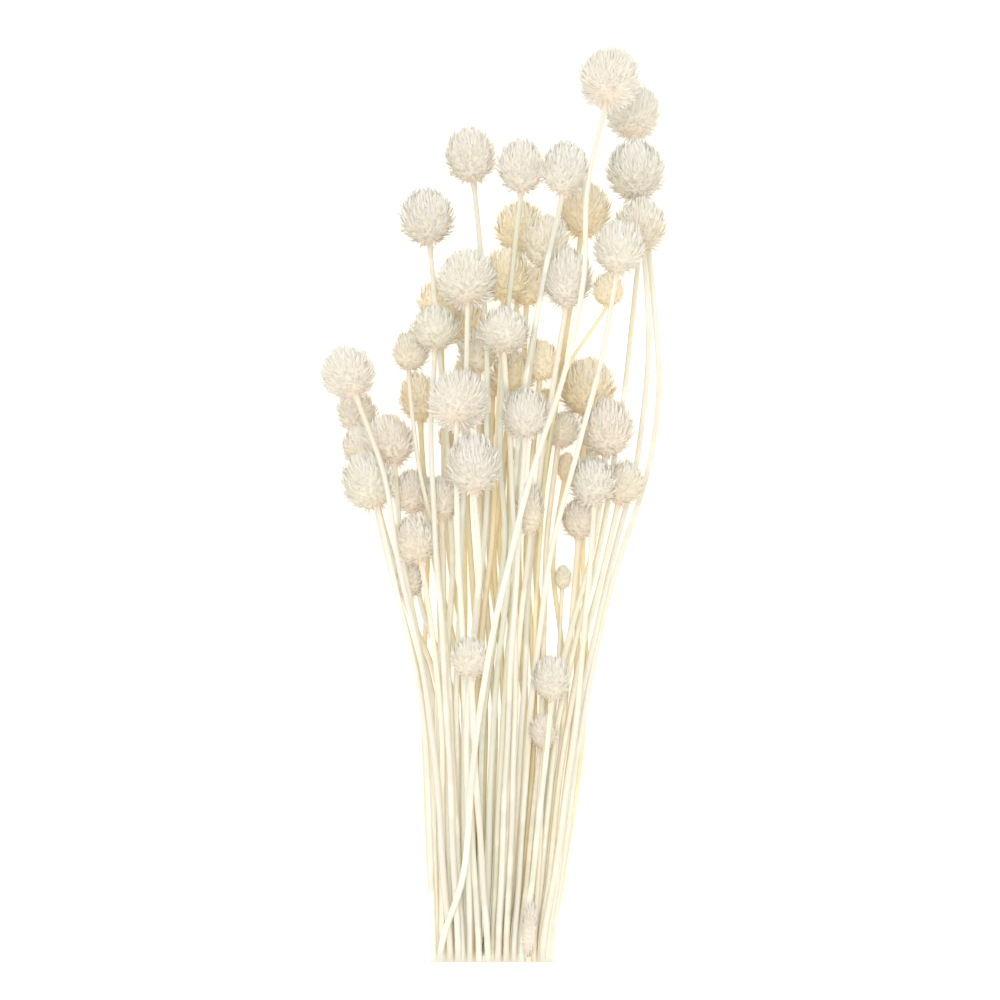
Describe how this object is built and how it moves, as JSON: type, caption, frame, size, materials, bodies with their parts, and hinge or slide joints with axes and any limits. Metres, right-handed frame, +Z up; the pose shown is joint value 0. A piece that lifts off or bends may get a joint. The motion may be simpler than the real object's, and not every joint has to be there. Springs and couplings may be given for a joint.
{
  "type": "dried teasel bunch",
  "caption": "Loose bunch of bleached dried stems with globe-shaped heads of pointed bracts, cut level and fanning out, lying on its side.",
  "frame": {"origin": "on the surface the bunch lies on, under the middle of its bounding box", "axes": "+Y along the bunch from the cut ends to the heads, +X across the bunch, +Z up from the surface"},
  "size_m": [0.1514, 0.402, 0.1168],
  "materials": {
    "ivory_flower": "matte",
    "blush_flower": "matte",
    "tan_flower": "matte"
  },
  "bodies": {
    "root": {"flower_stem_01": "tan_flower", "flower_stem_02": "tan_flower", "flower_stem_03": "tan_flower", "flower_stem_04": "tan_flower", "flower_stem_05": "tan_flower", "flower_stem_06": "tan_flower", "flower_stem_07": "tan_flower", "flower_stem_08": "tan_flower", "flower_stem_09": "tan_flower", "flower_stem_10": "ivory_flower", "flower_stem_11": "blush_flower", "flower_stem_12": "tan_flower", "flower_stem_13": "tan_flower", "flower_stem_14": "tan_flower", "flower_stem_15": "tan_flower", "flower_stem_16": "tan_flower", "flower_stem_17": "tan_flower", "flower_stem_18": "blush_flower", "flower_stem_19": "tan_flower", "flower_stem_20": "tan_flower", "flower_stem_21": "blush_flower", "flower_stem_22": "blush_flower", "flower_stem_23": "tan_flower", "flower_stem_24": "blush_flower", "flower_stem_25": "blush_flower", "flower_stem_26": "blush_flower", "flower_stem_27": "ivory_flower", "flower_stem_28": "ivory_flower", "flower_stem_29": "ivory_flower", "flower_stem_30": "blush_flower", "flower_stem_31": "tan_flower", "flower_stem_32": "blush_flower", "flower_stem_33": "blush_flower", "flower_stem_34": "blush_flower", "flower_stem_35": "blush_flower", "flower_stem_36": "ivory_flower", "flower_stem_37": "ivory_flower", "flower_stem_38": "tan_flower", "flower_stem_39": "ivory_flower", "flower_stem_40": "blush_flower", "flower_stem_41": "blush_flower", "flower_stem_42": "ivory_flower", "flower_stem_43": "blush_flower", "flower_stem_44": "blush_flower", "flower_stem_45": "blush_flower", "flower_stem_46": "ivory_flower", "flower_stem_47": "ivory_flower", "flower_stem_48": "ivory_flower", "flower_stem_49": "ivory_flower", "flower_stem_50": "ivory_flower", "flower_stem_51": "ivory_flower", "flower_stem_52": "ivory_flower", "flower_stem_53": "ivory_flower", "flower_stem_54": "ivory_flower", "flower_stem_55": "ivory_flower", "flower_stem_56": "blush_flower", "flower_stem_57": "ivory_flower", "flower_stem_58": "blush_flower", "flower_stem_59": "ivory_flower"}
  },
  "joints": []
}
